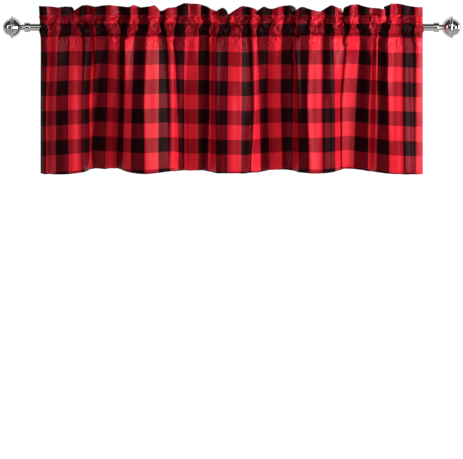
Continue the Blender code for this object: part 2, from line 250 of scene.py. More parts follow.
# The check columns of each fold, left to right: three that rise to the crest, the crest, three that
# fall and the valley. First how far each is turned from facing the room, in degrees, then how wide
# each is drawn in, in mm, at the header, under the lower seam, half way down and at the hem.
SKIRT_TURN = (
    (47, 47, 36, -14, -62, -66, -30, 33),
    (71, 60, 28, -13, -38, -65, -57, 10),
    (38, 66, 36, -16, -34, -72, -50, 24),
    (38, 68, 48, -2, -30, -65, -86, -20),
    (29, 53, 42, 12, -32, -20),
)
HEADER_WIDTH = (
    (18, 34, 28, 19, 19, 22, 27, 34),
    (30, 19, 28, 23, 19, 30, 28, 33),
    (24, 26, 28, 28, 23, 24, 31, 31),
    (28, 14, 28, 35, 26, 26, 16, 16),
    (31, 33, 21, 28, 35, 20),
)
UPPER_WIDTH = (
    (17, 26, 32, 33, 20, 14, 33, 29),
    (13, 23, 30, 34, 28, 7, 32, 35),
    (30, 15, 33, 34, 29, 9, 30, 35),
    (31, 5, 34, 36, 27, 32, 2, 33),
    (30, 17, 27, 37, 35, 17),
)
MIDDLE_WIDTH = (
    (13, 26, 31, 36, 13, 20, 32, 32),
    (12, 19, 32, 37, 30, 14, 21, 37),
    (30, 15, 31, 36, 31, 12, 24, 34),
    (30, 13, 25, 38, 33, 16, 2, 36),
    (33, 23, 28, 37, 33, 18),
)
HEM_WIDTH = (
    (14, 25, 33, 34, 14, 14, 33, 29),
    (16, 21, 35, 35, 30, 20, 17, 36),
    (26, 21, 29, 34, 27, 23, 25, 33),
    (26, 16, 27, 35, 32, 15, 2, 31),
    (37, 22, 33, 37, 31, 18),
)

# One column is tucked in behind its neighbour and comes forward again. The step behind it grows
# between two levels.
TUCKED_COLUMN = 30
TUCK_STEP = 34.0 * MM
TUCK_TURN = 9 * MM
TUCK_REACH = 70 * MM
TUCK_LEVELS = (112, 160)

# One gather a row: where its crest and the dip after it are, in mm from the left edge, and how
# upright the header stands at each. The cloth starts in a dip.
FIRST_STAND = 0.72
GATHERS = (
    ("crest_at", "crest_stand", "dip_at", "dip_stand"),
    (13, 0.70, 28, 0.70),
    (49, 0.73, 80, 0.36),
    (105, 0.74, 124, 0.77),
    (142, 0.78, 160, 0.75),
    (180, 0.75, 203, 0.71),
    (229, 0.80, 257, 0.67),
    (280, 0.79, 309, 0.42),
    (332, 0.62, 350, 0.66),
    (371, 0.86, 386, 0.95),
    (402, 0.98, 420, 0.84),
    (433, 0.66, 448, 0.46),
    (463, 0.65, 481, 0.16),
    (515, 0.79, 535, 0.60),
    (546, 0.54, 559, 0.41),
    (574, 0.68, 589, 0.60),
    (613, 0.78, 623, 0.84),
    (636, 0.84, 656, 0.51),
    (672, 0.75, 685, 0.63),
    (700, 0.52, 721, 0.33),
    (749, 0.85, 780, 0.29),
    (801, 0.82, 819, 0.74),
    (837, 0.67, 855, 0.62),
    (873, 0.60, 885, 0.72),
    (903, 0.90, 919, 0.90),
    (937, 0.84, 952, 0.80),
    (968, 0.74, 983, 0.70),
)

# Levels down to the lower seam: flat mm from the top edge, height in mm (None above the header
# seam, where it follows the gathers), spread of the pocket's two layers, share of the gathers, and
# how far the columns have moved from their header widths to those under the seam.
POCKET_LEVELS = (
    ("flat", "height", "spread", "gather", "skirt_share"),
    (0, None, 0.0, 1.25, 0.0),
    (16, None, 0.0, 0.95, 0.0),
    (32, 31.0, 0.0, 0.75, 0.0),
    (50, 21.5, 0.34, 0.75, 0.0),
    (68, 11.5, 0.76, 0.75, 0.1),
    (82, 1.0, 1.0, 0.75, 0.3),
    (94, -9.5, 1.0, 0.75, 0.55),
    (108, -22.5, 0.0, 0.85, 0.8),
)

# How much higher the header's edge stands than its gathers put it, and how much lower the hem hangs
# than its folds put it, each at a distance from the left edge, in mm.
HEADER_EDGE = (
    (3, 1.0), (13, 2.0), (46, -2.0), (72, 7.0), (75, 4.0), (80, -20.5), (82, -16.0), (88, -2.0),
    (108, 4.5), (126, -1.0), (157, 0.0), (175, 4.0), (221, -2.0), (229, -1.5), (239, 4.0),
    (257, -2.5), (281, 0.5), (291, 5.0), (301, -8.5), (306, -4.5), (314, -4.0), (327, 2.0),
    (347, 0.0), (368, 6.5), (386, -0.5), (407, -0.5), (420, -3.0), (432, 0.5), (448, -2.5),
    (453, -6.5), (458, -4.5), (466, 3.0), (471, -2.0), (476, -21.5), (479, -19.5), (481, -9.0),
    (484, -4.5), (494, -2.0), (507, -2.5), (523, 1.5), (533, 1.0), (546, 3.5), (553, 2.0),
    (561, -5.5), (569, 0.0), (574, 2.5), (589, -3.0), (600, -3.5), (613, -1.0), (620, -3.5),
    (646, 2.5), (654, 1.5), (662, -10.0), (669, 0.0), (682, -2.0), (718, -1.5), (728, 2.5),
    (757, 0.5), (767, 2.0), (772, 5.0), (775, 1.5), (777, -16.5), (780, -36.5), (782, -36.0),
    (788, -8.0), (790, 4.0), (793, 4.5), (837, 2.0), (852, -1.0), (875, 0.0), (880, -4.0),
    (883, -4.5), (888, -4.5), (903, 4.0), (916, 0.5), (934, 1.5), (950, -2.0), (978, -1.5),
)
HEM_DROP = (
    (3, 0.5), (33, -1.5), (77, 1.5), (111, -4.0), (149, 1.0), (165, 5.0), (208, -5.0), (234, 1.5),
    (250, 3.5), (306, 1.0), (337, -3.5), (371, 6.0), (391, 5.5), (427, 1.0), (476, 2.5), (510, 0.5),
    (530, 3.0), (543, 1.5), (582, 8.5), (605, 5.5), (636, -0.5), (649, 0.5), (659, -1.0),
    (718, 3.0), (762, -5.0), (847, -0.5), (860, -2.5), (875, 0.5), (903, 1.0), (919, 3.5),
    (978, 0.5),
)

# How much lower the check rows hang than square to the side edges, in mm, at a distance from the
# left edge: the weft is pulled out of true over the folds.
ROW_SAG = (
    (0, 2.6), (110, 2.6), (135, 1.0), (170, 1.4), (200, 3.8), (225, 1.8), (260, 1.0), (310, 0.0),
    (345, 0.5), (375, 4.0), (400, 4.4), (435, 2.6), (475, 5.0), (540, 5.0), (556, 1.2), (575, 1.6),
    (595, 3.4), (635, 0.4), (700, 0.0), (800, 0.0), (830, 1.4), (860, 2.2), (880, 5.0), (910, 7.4),
    (983, 7.7),
)

# The bands also lag where the folds go back, because the hem is turned up deeper there. Each lag
# comes in between two levels.
BAND_LAG = 0.08
BAND_LAG_LEVELS = (60, 110)
ROW_SAG_LEVELS = (70, 130)
LAST_BAND_LAG = 5.5 * MM
LAST_BAND_LEVELS = (425, 450)

# The columns waver to the side over the pocket: reach, wave across and wave down in mm, and start.
POCKET_WAVERS = ((2.9, 31.0, 64.0, 0.4), (0.7, 16.3, -27.0, 2.1))
WAVER_LEVELS = (32, 50, 90, 110)

# Creases fade over a share of their length to a share of their rise. A path with many points is a
# long crease, which stands out less for its rise than a short one.
CREASE_END = 0.12
CREASE_END_RISE = 0.25
SHORT_CREASE_RISE = 1.45
LONG_CREASE_RISE = 1.15
LONG_PATH = 5
NARROWEST_SIDE = 2.9

# The main creases, in mm from the middle of the rod, from the top of each down: how far it rises
# from the cloth (a trough is negative), how far it reaches to its left and right, and its path.
CREASES = (
    ("rise", "left", "right", "path"),
    (7, 25, 2, ((-414, 59), (-409, 41), (-403, 25))),
    (5, 15, 2, ((-198, 61), (-190, 41), (-185, 20))),
    (6, 14, 2, ((-25, 56), (-15, 36), (-12, 23))),
    (5, 2, 12, ((171, 56), (171, 31), (171, 7))),
    (7, 2, 22, ((294, 56), (294, 31), (297, 13))),
    (6, 2, 16, ((389, 59), (384, 36), (382, 18))),
    (4, 2, 10, ((70, 51), (73, 31))),
    (4, 5, 3, ((-437, 28), (-447, 15), (-465, -3))),
    (2.5, 3, 3, ((-465, -5), (-470, -21))),
    (3.5, 3, 2.5, ((-398, 25), (-406, 10))),
    (3, 2.5, 2.5, ((-393, 25), (-388, 10))),
    (-3, 4, 4, ((-385, 28), (-375, 0))),
    (3.5, 4, 3, ((-362, 25), (-349, 0))),
    (3, 3, 2.5, ((-349, 20), (-347, 7), (-337, -8))),
    (3, 3, 2.5, ((-326, 23), (-331, -5))),
    (3.5, 3.5, 2.5, ((-319, 23), (-311, 0), (-301, -18))),
    (3.5, 3, 3, ((-298, 15), (-290, -16))),
    (3, 3, 2.5, ((-288, 20), (-295, -5))),
    (2.5, 3, 2.5, ((-288, 31), (-272, 7))),
    (2.5, 2.5, 2.5, ((-267, 28), (-272, 7))),
    (4, 4, 2.5, ((-264, 28), (-259, 7), (-264, -8), (-272, -26))),
    (3, 3, 2.5, ((-252, 25), (-249, 7))),
    (3.5, 3, 3, ((-246, 7), (-246, -18))),
    (3, 3, 3, ((-231, 31), (-244, 20), (-252, 7))),
    (4, 3, 3, ((-221, 20), (-213, 2), (-213, -16), (-217, -41), (-220, -80), (-222, -125))),
    (-5, 7, 7, ((-228, 15), (-228, -8))),
    (3, 3, 2.5, ((-210, 20), (-208, 0))),
    (3.5, 3, 3, ((-198, 25), (-190, 2))),
    (4, 3, 2.5, ((-187, 28), (-187, -11), (-185, -47))),
    (3, 3, 2.5, ((-125, 36), (-146, 7))),
    (2.5, 2.5, 2.5, ((-131, 25), (-136, 5))),
    (3, 3, 2.5, ((-100, 25), (-107, 5))),
    (3, 3, 3, ((-97, 25), (-84, 5))),
    (-4, 6, 6, ((-97, 2), (-100, -26))),
    (3.5, 3, 3, ((-71, 25), (-82, 7))),
    (4, 3, 2.5, ((-59, 28), (-53, 7))),
    (3, 6, 6, ((-46, 25), (-43, 10))),
    (4, 3.5, 3, ((-41, 15), (-35, -16), (-28, -41))),
    (3, 3, 3, ((-7, 10), (-20, -16))),
    (-6, 13, 13, ((-69, -16), (-69, -72))),
    (4, 3, 2.5, ((1, 28), (-7, 5))),
    (-4.5, 3, 3, ((6, 15), (29, -16))),
    (3.5, 3, 2.5, ((39, 25), (32, 5))),
    (2.5, 3, 3, ((50, 20), (55, 10))),
    (3.5, 4, 3, ((83, 28), (86, 10), (96, -3))),
    (-3.5, 3, 3, ((134, 31), (114, 15), (101, -3))),
    (4, 4, 3, ((129, 23), (111, 10), (106, -3), (116, -13), (132, -23))),
    (-3, 4, 4, ((119, 10), (116, -5))),
    (3, 3, 2.5, ((145, 25), (158, 2))),
    (3, 3, 3, ((176, 5), (181, -13))),
    (4, 3, 3, ((178, -8), (163, -29))),
    (3, 3, 2.5, ((181, 25), (194, 5))),
    (4, 3.5, 3.5, ((230, 23), (207, 10))),
    (-4.5, 5, 5, ((225, 18), (204, -21))),
    (3.5, 3, 2.5, ((230, 20), (232, -16))),
    (4, 3, 2.5, ((258, 28), (268, 7), (266, -16))),
    (-4, 4, 4, ((271, 18), (281, -13))),
    (4.5, 3, 2.5, ((281, 18), (289, 0), (294, -26), (294, -49))),
    (-6, 4, 4, ((302, 23), (333, -5), (358, -34))),
    (4, 3, 3, ((310, 25), (333, 0))),
    (5, 12, 3, ((351, 31), (374, 28), (376, 13), (361, -23))),
    (-5, 9, 9, ((382, 10), (364, -31), (358, -78))),
    (3, 3, 3, ((384, 25), (397, 5))),
    (3, 3, 3, ((456, 31), (438, 23), (443, 10), (459, 7))),
    (5.5, 9, 2.5, (
        (-369, 20), (-371, -5), (-366, -26), (-364, -60),
        (-366, -90), (-369, -188), (-372, -240), (-372, -371),
    )),
    (-4, 3, 10, ((-357, -60), (-359, -136), (-362, -239), (-363, -371))),
    (5.5, 14, 2.5, (
        (-171, 18), (-162, -21), (-154, -70), (-150, -134), (-145, -263), (-142, -371),
    )),
    (2.5, 3, 2.5, ((-154, 15), (-153, -36))),
    (5, 8, 2.5, ((56, 20), (59, -21), (63, -108), (67, -263), (70, -371))),
    (3.5, 5, 2.5, ((165, -18), (163, -98))),
    (3.5, 8, 3, ((389, -26), (407, -70), (402, -160))),
)

# Small puckers stand along both pocket seams: for each, its height and its longest pucker, in mm.
PUCKER_SEAMS = ((HEADER_SEAM_HEIGHT / MM - 2, 20), (-20.5, 14))
PUCKER_END = 488.0
PUCKER_LEAST_REACH = 7
PUCKER_LEAN = 0.35
PUCKER_RISE = (1.2, 3.6)
PUCKER_SIDE = 3.0
PUCKER_GAP = (6, 15)
PUCKER_SEED = 7


def smooth_through(knots, values, at):
    """A curve through the knots that never overshoots them (monotone cubic)."""
    knots = np.asarray(knots, float)
    values = np.asarray(values, float)
    step = np.diff(knots)
    slope = np.diff(values) / step
    tangent = np.zeros(len(knots))
    tangent[0], tangent[-1] = slope[0], slope[-1]
    for k in range(1, len(knots) - 1):
        if slope[k - 1] * slope[k] > 0:
            before = 2 * step[k] + step[k - 1]
            after = step[k] + 2 * step[k - 1]
            tangent[k] = (before + after) / (before / slope[k - 1] + after / slope[k])
    cell = np.clip(np.searchsorted(knots, at, side="right") - 1, 0, len(step) - 1)
    t = (at - knots[cell]) / step[cell]
    return (
        (2 * t**3 - 3 * t**2 + 1) * values[cell]
        + (t**3 - 2 * t**2 + t) * step[cell] * tangent[cell]
        + (3 * t**2 - 2 * t**3) * values[cell + 1]
        + (t**3 - t**2) * step[cell] * tangent[cell + 1]
    )


def column_values(table):
    """One value for each check column, from a table with a fold on each row."""
    return np.concatenate([np.array(fold, float) for fold in table])


def running_total(sizes):
    """Where each of a run of sizes starts, and where the last one ends."""
    return np.concatenate([[0.0], np.cumsum(sizes)])


def drawn_in(table):
    """Positions of the column boundaries across the gathered cloth."""
    widths = column_values(table)
    return running_total(widths * GATHERED_WIDTH / widths.sum())


column_flat = np.full(len(column_values(SKIRT_TURN)), CHECK)
column_flat[[0, -1]] *= SIDE_CHECK
flat_edges = running_total(column_flat)
FLAT_WIDTH = flat_edges[-1]
FLAT_LENGTH = HEADER_LENGTH + POCKET_LENGTH + SKIRT_LENGTH
turn = np.clip(np.radians(column_values(SKIRT_TURN)), -MOST_TURN, MOST_TURN)
deeper = -FOLD_DEPTH * column_flat * np.sin(turn)
deeper[TUCKED_COLUMN] = 0.0
depth_edges = running_total(deeper)

# Where each station across the flat cloth comes to be at four levels, and how deep its fold is.
stations = np.linspace(0, FLAT_WIDTH, int(FLAT_WIDTH / COLUMN_STEP))
header_x = smooth_through(flat_edges, drawn_in(HEADER_WIDTH), stations)
upper_x = smooth_through(flat_edges, drawn_in(UPPER_WIDTH), stations)
middle_x = smooth_through(flat_edges, drawn_in(MIDDLE_WIDTH), stations)
hem_x = smooth_through(flat_edges, drawn_in(HEM_WIDTH), stations)
fold_depth = smooth_through(flat_edges, depth_edges, stations)
fold_depth -= (fold_depth.max() + fold_depth.min()) / 2

# The gathers run through a crest and a dip in turn, each a half turn of a wave.
turn_places = [0.0]
turn_stands = [FIRST_STAND]
for crest_at, crest_stand, dip_at, dip_stand in GATHERS[1:]:
    turn_places += [crest_at * MM, dip_at * MM]
    turn_stands += [crest_stand, dip_stand]
turn_places = np.interp(turn_places, drawn_in(HEADER_WIDTH), flat_edges)
turn_places[-1] = FLAT_WIDTH
half_turns = smooth_through(turn_places, np.arange(len(turn_places)), stations)
wave = -np.cos(math.pi * half_turns)
stand = smooth_through(turn_places, turn_stands, stations)
near_turn = np.clip(half_turns.astype(int), 0, len(turn_places) - 2)
gather_length = np.minimum(2 * np.diff(turn_places)[near_turn], MOST_GATHER)
smoother = np.hanning(2 * SMOOTH_REACH + 1)
smoother /= smoother.sum()


def smoothed(values):
    """The values averaged with their neighbours across the cloth."""
    return np.convolve(np.pad(values, SMOOTH_REACH, mode="edge"), smoother, mode="valid")


gather_length = smoothed(gather_length)


def level_line(x, drape, gather):
    """Depth of the folds and of the gathers along one level of the cloth."""
    pull = np.gradient(x, stations)
    fold_turn = np.gradient(fold_depth, stations)
    straight = np.sqrt(np.clip(1 - (drape * fold_turn) ** 2, LEAST_STRAIGHT, 1.0))
    slack = np.sqrt(np.clip(1 - (pull / straight) ** 2, 0.0, MOST_SLACK))
    ripple = gather * slack * gather_length / 4 * np.minimum(1.0, pull / TIGHT_PULL)
    return drape * fold_depth, smoothed(ripple)


level_rows = [[0 if value is None else value for value in row] for row in POCKET_LEVELS[1:]]
level_flat, level_height, level_spread, level_gather, level_share = np.array(level_rows, float).T
lower_seam = HEADER_LENGTH + POCKET_LENGTH
curl_start = FLAT_LENGTH - HEM_CURL
header_flats = np.linspace(0, HEADER_LENGTH, HEADER_STEPS + 1) / MM
pocket_flats = np.linspace(HEADER_LENGTH, lower_seam, POCKET_STEPS + 1)[1:] / MM
skirt_flats = np.linspace(lower_seam, curl_start, SKIRT_STEPS + 1)[1:] / MM
curl_flats = np.linspace(curl_start, FLAT_LENGTH, CURL_STEPS + 1)[1:] / MM
flats = np.concatenate([header_flats, pocket_flats, skirt_flats, curl_flats])
SEAM_ROW = len(header_flats) - 1
LOWER_SEAM_ROW = SEAM_ROW + len(pocket_flats)
left_edge = np.exp(-((stations / SAG_REACH) ** 2))
right_edge = np.exp(-(((stations - FLAT_WIDTH) / SAG_REACH) ** 2))
edge_rise = np.interp(header_x / MM, *zip(*HEADER_EDGE)) * MM
hem_drop = np.interp(hem_x / MM, *zip(*HEM_DROP)) * MM
row_sag = np.interp(middle_x / MM, *zip(*ROW_SAG)) * MM

# The sheet is laid row by row from the top edge down. Each row of the skirt hangs below the last by
# what its sideways moves leave of the cloth between them.
front_rows = []
back_rows = []
for number, flat in enumerate(flats):
    if number <= LOWER_SEAM_ROW:
        spread = smooth_through(level_flat, level_spread, flat)
        gather = smooth_through(level_flat, level_gather, flat)
        moved = smooth_through(level_flat, level_share, flat)
        x = header_x + (upper_x - header_x) * moved
        y, ripple = level_line(x, LEAST_DRAPE * moved, gather)
        if number < SEAM_ROW:
            above_seam = 1 - flat * MM / HEADER_LENGTH
            z = HEADER_SEAM_HEIGHT + above_seam * (stand * HEADER_LENGTH + edge_rise)
        else:
            height_here = smooth_through(level_flat[2:], level_height[2:], flat)
            z = np.full(len(stations), height_here * MM)
        apart = spread * (ROD_RADIUS + ROD_GAP + SHEET / 2 + ripple)
        x = x - GATHERED_WIDTH / 2
        front_rows.append(np.stack([x, y - ripple * wave - apart, z], axis=1))
        back_rows.append(np.stack([x, y - ripple * wave + apart, z], axis=1))
        continue
    share = (flat - LOWER_SEAM_LEVEL) * MM / SKIRT_LENGTH
    grown = (1 - math.exp(-FOLD_GROWTH * share)) / (1 - math.exp(-FOLD_GROWTH))
    drape = LEAST_DRAPE + (1 - LEAST_DRAPE) * grown
    if flat < UPPER_LEVEL:
        to_upper = min(1.0, level_share[-1] + UPPER_RATE * share)
        x = header_x + (upper_x - header_x) * to_upper
    elif flat < MIDDLE_LEVEL:
        x = upper_x + (middle_x - upper_x) * (flat - UPPER_LEVEL) / (MIDDLE_LEVEL - UPPER_LEVEL)
    else:
        to_hem = min(1.0, (flat - MIDDLE_LEVEL) / (HEM_LEVEL - MIDDLE_LEVEL))
        x = middle_x + (hem_x - middle_x) * to_hem
    y, ripple = level_line(x, drape, SKIRT_GATHER)
    x = x - GATHERED_WIDTH / 2
    y = y - ripple * wave
    above = front_rows[-1]
    run = (flat - flats[number - 1]) * MM
    swing = np.hypot(y - above[:, 1], x - above[:, 0])
    drop = np.sqrt(np.maximum(run**2 - swing**2, (LEAST_DROP * run) ** 2))
    front_rows.append(np.stack([x, y, above[:, 2] - drop], axis=1))

front_sheet = np.array(front_rows)
back_sheet = np.array(back_rows)

# Behind the tuck the next column starts further back, so that the tuck's own edge stays in front.
from_tuck = stations - (flat_edges[TUCKED_COLUMN + 1] + flat_edges[TUCKED_COLUMN]) / 2
tuck_step = 0.5 * np.tanh(from_tuck / TUCK_TURN) * np.exp(-np.abs(from_tuck) / TUCK_REACH)
front_sheet[:, :, 1] += TUCK_STEP * np.interp(flats, TUCK_LEVELS, (0, 1))[:, None] * tuck_step

# The wall stops the folds, so the deepest ones flatten towards it.
pressed = np.maximum(front_sheet[:, :, 1] - WALL_SIDE_DEPTH, 0)
front_sheet[:, :, 1] -= pressed - WALL_PRESS * np.tanh(pressed / WALL_PRESS)

# The gathers on the rod push the columns a little to each side.
waver_share = np.interp(flats, WAVER_LEVELS, (0, 1, 1, 0))
for reach, wave_x, wave_flat, start in POCKET_WAVERS:
    phase = front_sheet[:, :, 0] / (wave_x * MM) + (flats / wave_flat)[:, None]
    front_sheet[:, :, 0] += reach * MM * waver_share[:, None] * np.sin(2 * math.pi * phase + start)

# The hem curls back a little, the side edges sag and the left edge flares at the top.
curl = np.clip((flats * MM - curl_start) / HEM_CURL, 0.0, 1.0)
front_sheet[:, :, 1] += HEM_CURL_DEPTH * (curl**2)[:, None]
hang = np.clip((HEADER_SEAM_HEIGHT - front_sheet[:, :, 2]) / HANG_HEIGHT, 0.0, 1.0)
front_sheet[:, :, 2] -= hang * (LEFT_SAG * left_edge + RIGHT_SAG * right_edge)
front_sheet[:, :, 2] -= hang**1.5 * hem_drop
flare = np.clip((front_sheet[:, :, 2] - FLARE_BOTTOM) / FLARE_HEIGHT, 0.0, 1.0)
flare = flare * np.exp(-stations / FLARE_REACH)
front_sheet[:, :, 0] -= LEFT_FLARE * flare
back_sheet[:, :, 0] -= LEFT_FLARE * flare[: len(back_rows)]


def sheet_normals(sheet):
    """The direction that faces the room at each point of a sheet."""
    across = np.gradient(sheet, axis=1)
    down = np.gradient(sheet, axis=0)
    normal = np.cross(down, across)
    return normal / np.linalg.norm(normal, axis=2, keepdims=True)


def crease_profile(across, down, left, right, path):
    """Height of one crease, 1 along its path, over points given across and down the valance."""
    path = np.array(path) * MM
    runs = np.hypot(*np.diff(path, axis=0).T)
    nearest = np.full(across.shape, 1e9)
    width = np.zeros(across.shape)
    along = np.zeros(across.shape)
    for k, run in enumerate(runs):
        unit = (path[k + 1] - path[k]) / run
        out_x, out_z = across - path[k, 0], down - path[k, 1]
        travel = np.clip(out_x * unit[0] + out_z * unit[1], 0, run)
        distance = np.hypot(out_x - travel * unit[0], out_z - travel * unit[1])
        closer = distance < nearest
        nearest[closer] = distance[closer]
        side = np.where(out_z * unit[0] - out_x * unit[1] > 0, right, left) * MM
        width[closer] = side[closer]
        along[closer] = ((runs[:k].sum() + travel) / runs.sum())[closer]
    ends = np.clip(np.minimum(along, 1 - along) / CREASE_END, 0, 1)
    fade = CREASE_END_RISE + (1 - CREASE_END_RISE) * ends * ends * (3 - 2 * ends)
    return np.exp(-((nearest / width) ** 2)) * fade


sheet_x, sheet_z = front_sheet[:, :, 0], front_sheet[:, :, 2]
raised = np.zeros(sheet_x.shape)
for rise, left, right, path in CREASES[1:]:
    strength = SHORT_CREASE_RISE if len(path) < LONG_PATH else LONG_CREASE_RISE
    left, right = (max(NARROWEST_SIDE, side) for side in (left, right))
    raised += strength * rise * MM * crease_profile(sheet_x, sheet_z, left, right, path)
pucker = np.random.default_rng(PUCKER_SEED)
for seam_height, most_reach in PUCKER_SEAMS:
    at = -PUCKER_END
    while at < PUCKER_END:
        reach = pucker.uniform(PUCKER_LEAST_REACH, most_reach)
        lean = pucker.uniform(-PUCKER_LEAN, PUCKER_LEAN) * reach
        path = ((at, seam_height), (at + lean, seam_height - reach))
        rise = pucker.uniform(*PUCKER_RISE)
        raised += rise * MM * crease_profile(sheet_x, sheet_z, PUCKER_SIDE, PUCKER_SIDE, path)
        at += pucker.uniform(*PUCKER_GAP)
front_sheet += sheet_normals(front_sheet) * raised[:, :, None]

# The front of the pocket stays clear of the rod.
rod_clear = ROD_RADIUS + ROD_GAP + SHEET
pocket = slice(SEAM_ROW, LOWER_SEAM_ROW + 1)
nearest_front = -np.sqrt(np.maximum(rod_clear**2 - front_sheet[pocket, :, 2] ** 2, 0))
front_sheet[pocket, :, 1] = np.minimum(front_sheet[pocket, :, 1], nearest_front)

# The sheet gets its thickness, which is greater at the header, the seams and the hems, and the
# pocket's two layers meet at their seams.
from_side = np.minimum(stations, FLAT_WIDTH - stations)
turned_side = 1 / (1 + np.exp((from_side - SIDE_HEM) / HEM_FADE))
turned_hem = 1 / (1 + np.exp((FLAT_LENGTH - HEM_DEPTH - flats * MM) / HEM_FADE))
turned_in = np.maximum(turned_side[None, :], turned_hem[:, None])
half_sheet = SHEET / 2 + (HEM_SHEET - SHEET) / 2 * turned_in
half_sheet[: SEAM_ROW + 1] = HEADER_SHEET / 2
half_sheet[LOWER_SEAM_ROW] = HEADER_SHEET / 2
front_out = sheet_normals(front_sheet) * half_sheet[:, :, None]
outer_front = front_sheet + front_out
outer_back = front_sheet - front_out
back_out = sheet_normals(back_sheet[pocket]) * half_sheet[pocket][:, :, None]
outer_back[pocket] = back_sheet[pocket] - back_out
inner_front = front_sheet[pocket] - front_out[pocket]
inner_back = back_sheet[pocket] + back_out
inner_front[0] = inner_back[0] = front_sheet[SEAM_ROW] - [0, 0, SEAM_INSET]
inner_front[-1] = inner_back[-1] = front_sheet[LOWER_SEAM_ROW] + [0, 0, SEAM_INSET]

cloth_points = []
cloth_flat = []


def store_grid(grid, rows_flat):
    """Adds a grid of points, with each one's place on the flat cloth."""
    first = len(cloth_points)
    cloth_points.extend(grid.reshape(-1, 3).tolist())
    for row, flat in enumerate(rows_flat):
        lag = BAND_LAG * grid[row, :, 1] * np.interp(flat, BAND_LAG_LEVELS, (0, 1))
        lag = lag + row_sag * np.interp(flat, ROW_SAG_LEVELS, (0, 1))
        lag = lag + LAST_BAND_LAG * np.interp(flat, LAST_BAND_LEVELS, (0, 1))
        cloth_flat.extend(zip(stations, flat * MM - lag))
    return np.arange(first, len(cloth_points)).reshape(grid.shape[:2])


front_ids = store_grid(outer_front, flats)
back_ids = store_grid(outer_back, flats)
inner_front_ids = store_grid(inner_front, flats[pocket])
inner_back_ids = store_grid(inner_back[1:-1], flats[pocket][1:-1])
inner_back_ids = np.concatenate([inner_front_ids[:1], inner_back_ids, inner_front_ids[-1:]])


def strips(upper, lower):
    """Quads between the ids of neighbouring rows, facing the room."""
    corners = [upper[:, :-1], lower[:, :-1], lower[:, 1:], upper[:, 1:]]
    return np.stack(corners, axis=-1).reshape(-1, 4)


def side_faces(column):
    """Faces that close the sheet at one side edge, between its front and back, facing left."""
    front, back = front_ids[:, column], back_ids[:, column]
    inner, behind = inner_front_ids[:, column], inner_back_ids[:, column]
    faces = []
    for row in range(len(flats) - 1):
        if SEAM_ROW <= row < LOWER_SEAM_ROW:
            k = row - SEAM_ROW
            faces.append((front[row], inner[k], inner[k + 1], front[row + 1]))
            faces.append((behind[k], back[row], back[row + 1], behind[k + 1]))
        else:
            faces.append((front[row], back[row], back[row + 1], front[row + 1]))
    faces.append((front[SEAM_ROW], back[SEAM_ROW], inner[0]))
    faces.append((inner[-1], back[LOWER_SEAM_ROW], front[LOWER_SEAM_ROW]))
    return [[int(corner) for corner in face] for face in faces]


cloth_faces = np.concatenate(
    [
        strips(front_ids[:-1], front_ids[1:]),
        strips(back_ids[:-1], back_ids[1:])[:, ::-1],
        strips(inner_front_ids[:-1], inner_front_ids[1:])[:, ::-1],
        strips(inner_back_ids[:-1], inner_back_ids[1:]),
        strips(back_ids[:1], front_ids[:1]),
        strips(front_ids[-1:], back_ids[-1:]),
    ]
).tolist()
cloth_faces += side_faces(0)
cloth_faces += [face[::-1] for face in side_faces(-1)]

cloth_mesh = bpy.data.meshes.new("valance_panel")
cloth_mesh.from_pydata(cloth_points, [], cloth_faces)
cloth_mesh.update()
cloth_mesh.shade_smooth()
cloth_uv = cloth_mesh.uv_layers.new(name="flat_cloth")
loop_vertices = np.empty(len(cloth_mesh.loops), np.int32)
cloth_mesh.loops.foreach_get("vertex_index", loop_vertices)
cloth_uv.data.foreach_set("uv", np.array(cloth_flat, np.float32)[loop_vertices].ravel())
valance_panel = bpy.data.objects.new("valance_panel", cloth_mesh)
bpy.context.scene.collection.objects.link(valance_panel)

cloth_material = bpy.data.materials.new("buffalo_check_satin")
cloth_material.use_nodes = True
tree = cloth_material.node_tree
nodes, links = tree.nodes, tree.links


def tree_of(values):
    """The node tree that the sockets among the values belong to."""
    return next(value.id_data for value in values if isinstance(value, bpy.types.NodeSocket))


def feed(socket, value):
    """Sets a socket to a number or a colour, or links another socket to it."""
    if isinstance(value, bpy.types.NodeSocket):
        value.id_data.links.new(value, socket)
    elif isinstance(value, tuple):
        socket.default_value = (*value, 1.0)
    else:
        socket.default_value = value


def math_node(operation, *values):
    node = tree_of(values).nodes.new("ShaderNodeMath")
    node.operation = operation
    for socket, value in zip(node.inputs, values):
        feed(socket, value)
    return node.outputs[0]


def mix_colour(factor, first, second):
    node = tree_of((factor, first, second)).nodes.new("ShaderNodeMix")
    node.data_type = "RGBA"
    for label, value in (("Factor", factor), ("A", first), ("B", second)):
        feed(node.inputs[label], value)
    return node.outputs["Result"]


def stretched(place, scale, turned=0.0):
    node = place.id_data.nodes.new("ShaderNodeMapping")
    node.inputs["Scale"].default_value = scale
    node.inputs["Rotation"].default_value = (0, 0, turned)
    feed(node.inputs["Vector"], place)
    return node.outputs[0]


def noise_node(place, scale, detail, distortion=0.0):
    node = place.id_data.nodes.new("ShaderNodeTexNoise")
    values = {"Vector": place, "Scale": scale, "Detail": detail, "Distortion": distortion}
    for label, value in values.items():
        feed(node.inputs[label], value)
    return node.outputs["Fac"]


def bump_node(height, strength, distance):
    node = height.id_data.nodes.new("ShaderNodeBump")
    for label, value in {"Height": height, "Strength": strength, "Distance": distance}.items():
        feed(node.inputs[label], value)
    return node


flat_map = nodes.new("ShaderNodeUVMap")
flat_map.uv_map = "flat_cloth"
flat_split = nodes.new("ShaderNodeSeparateXYZ")
links.new(flat_map.outputs["UV"], flat_split.inputs[0])
flat_x, flat_y = flat_split.outputs["X"], flat_split.outputs["Y"]


